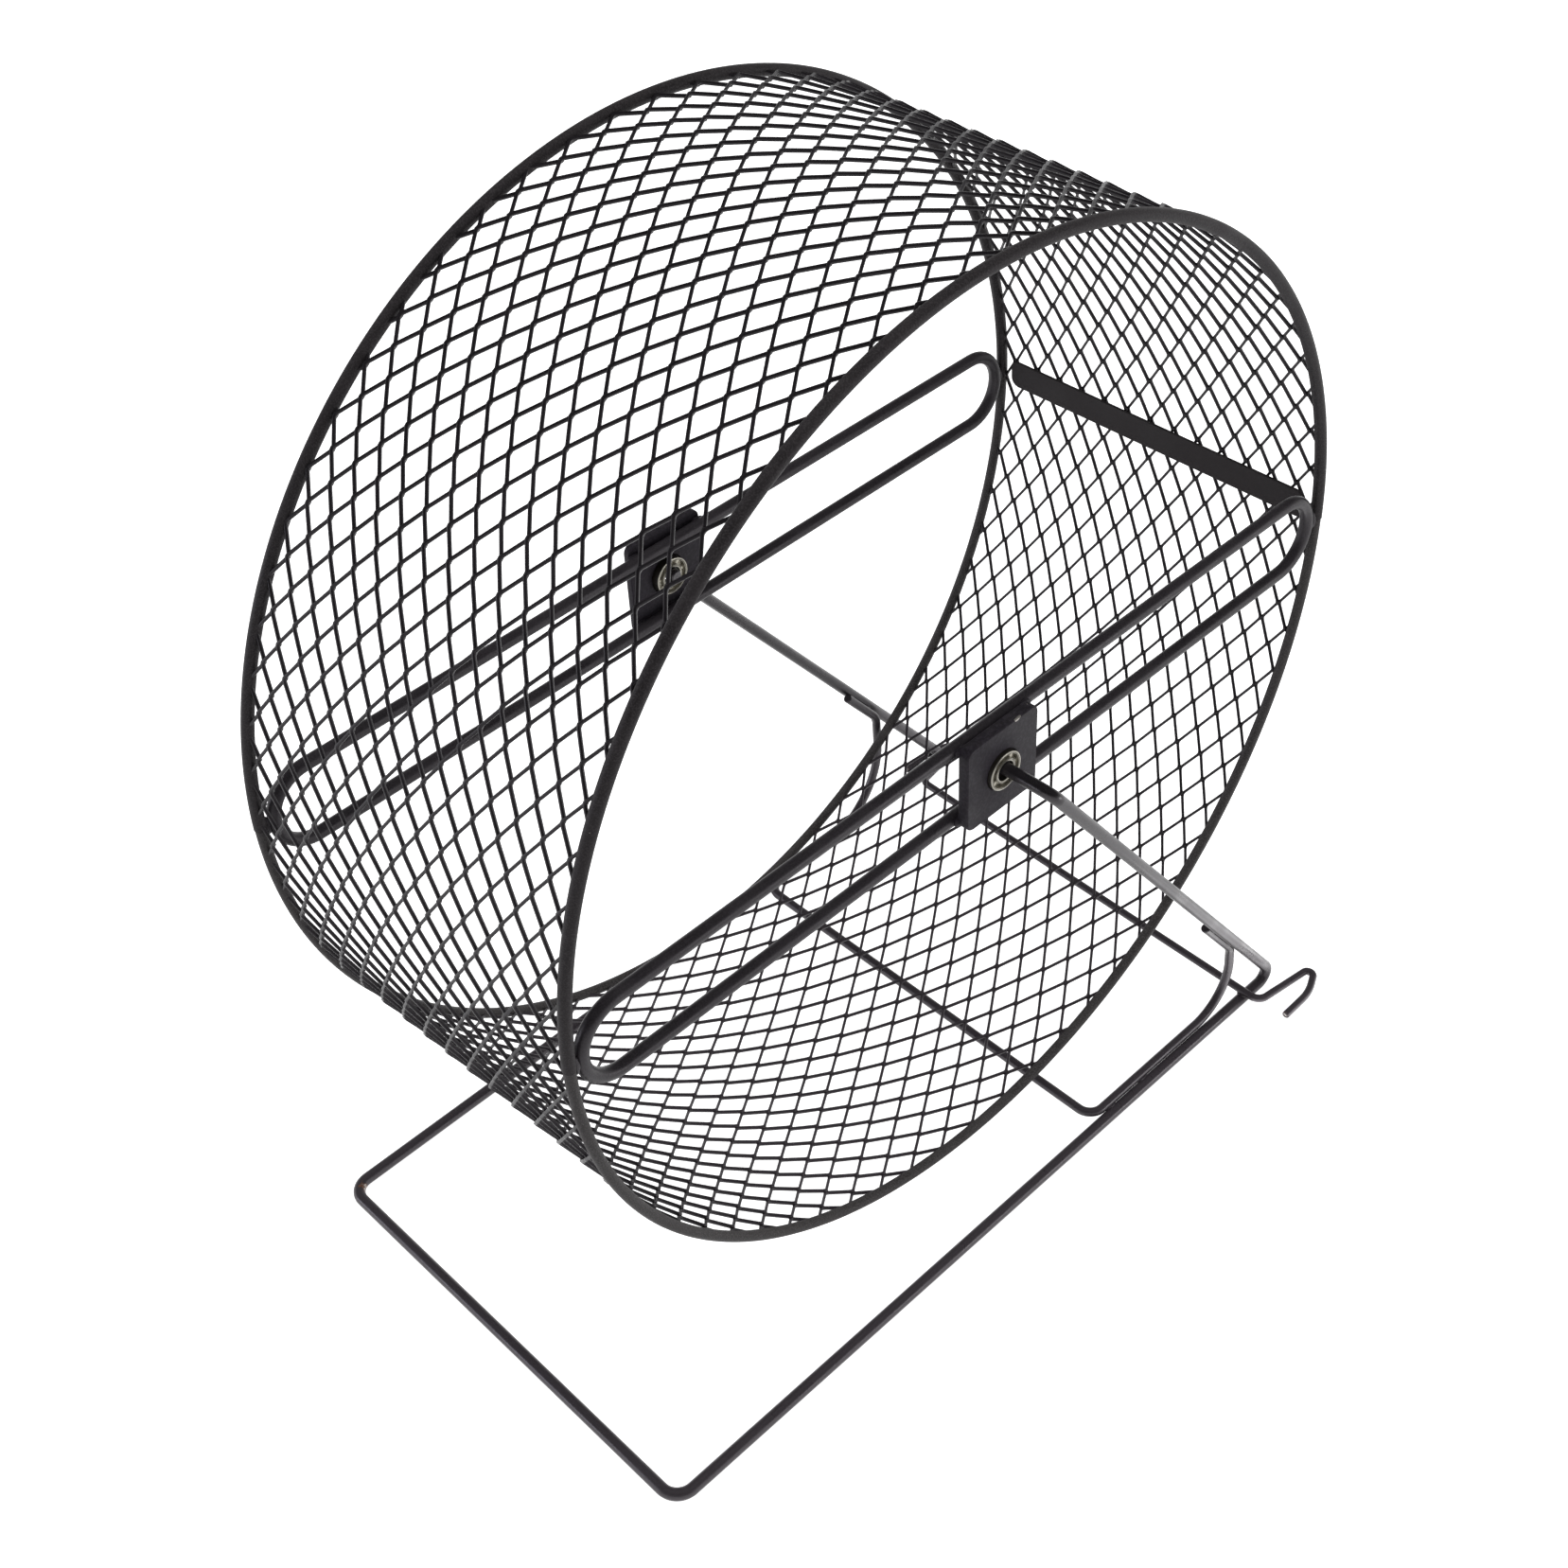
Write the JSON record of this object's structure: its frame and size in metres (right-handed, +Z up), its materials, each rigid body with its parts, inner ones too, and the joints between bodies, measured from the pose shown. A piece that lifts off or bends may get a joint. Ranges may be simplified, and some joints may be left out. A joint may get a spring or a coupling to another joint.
{
  "type": "hamster wheel",
  "caption": "Black metal running wheel: an expanded-mesh drum with wire spoke loops on open ball bearings, hung on the stubs of a bent wire stand with rear hooks.",
  "frame": {"origin": "centre of the bounding box at the level of the floor; the drum and the stand lie a little to the left of it, because the hook wire is welded on to the right", "axes": "+Z up, -Y towards the front cross wire of the stand, +X to the right along the axle; seen from the front, right is the side of the long stub"},
  "size_m": [0.1746, 0.3026, 0.3094],
  "materials": {
    "powder_coat": "satin black powder coat on steel wire, mesh and plate",
    "bearing_steel": "ground bearing steel, lightly oiled",
    "cage_steel": "pressed steel ribbon, warm grey"
  },
  "bodies": {
    "stand": {"stand_wire": "powder_coat", "brace_wire": "powder_coat", "hook_wire": "powder_coat"},
    "inner_rings": {"bearing_inner_ring_right": "bearing_steel", "bearing_inner_ring_left": "bearing_steel"},
    "ball_train": {"bearing_ball_right_1": "bearing_steel", "bearing_ball_right_2": "bearing_steel", "bearing_ball_right_3": "bearing_steel", "bearing_ball_right_4": "bearing_steel", "bearing_ball_right_5": "bearing_steel", "bearing_ball_right_6": "bearing_steel", "bearing_ball_right_7": "bearing_steel", "bearing_ball_right_8": "bearing_steel", "bearing_ball_left_1": "bearing_steel", "bearing_ball_left_2": "bearing_steel", "bearing_ball_left_3": "bearing_steel", "bearing_ball_left_4": "bearing_steel", "bearing_ball_left_5": "bearing_steel", "bearing_ball_left_6": "bearing_steel", "bearing_ball_left_7": "bearing_steel", "bearing_ball_left_8": "bearing_steel", "bearing_cage_right": "cage_steel", "bearing_cage_left": "cage_steel"},
    "wheel": {"mesh_band": "powder_coat", "seam_strip": "powder_coat", "rim_upper_right": "powder_coat", "rim_upper_left": "powder_coat", "rim_lower_right": "powder_coat", "rim_lower_left": "powder_coat", "spoke_loop_right": "powder_coat", "spoke_loop_left": "powder_coat", "hub_plate_right": "powder_coat", "hub_plate_left": "powder_coat", "bearing_outer_ring_right": "bearing_steel", "bearing_outer_ring_left": "bearing_steel"}
  },
  "joints": [
    {"name": "axial_float", "type": "slide", "parent": "stand", "child": "inner_rings", "axis": [1, 0, 0], "range_m": [0, 0.005]},
    {"name": "wheel_spin", "type": "hinge", "parent": "inner_rings", "child": "wheel", "pos_m": [-0.01405, 0.00134, 0.15998], "axis": [1, 0, 0], "continuous": true},
    {"name": "ball_train_roll", "type": "hinge", "parent": "inner_rings", "child": "ball_train", "pos_m": [-0.01405, 0.00134, 0.15998], "axis": [1, 0, 0], "continuous": true}
  ],
  "couplings": [
    {"joint": "ball_train_roll", "follows": "wheel_spin", "ratio": 0.5878}
  ]
}
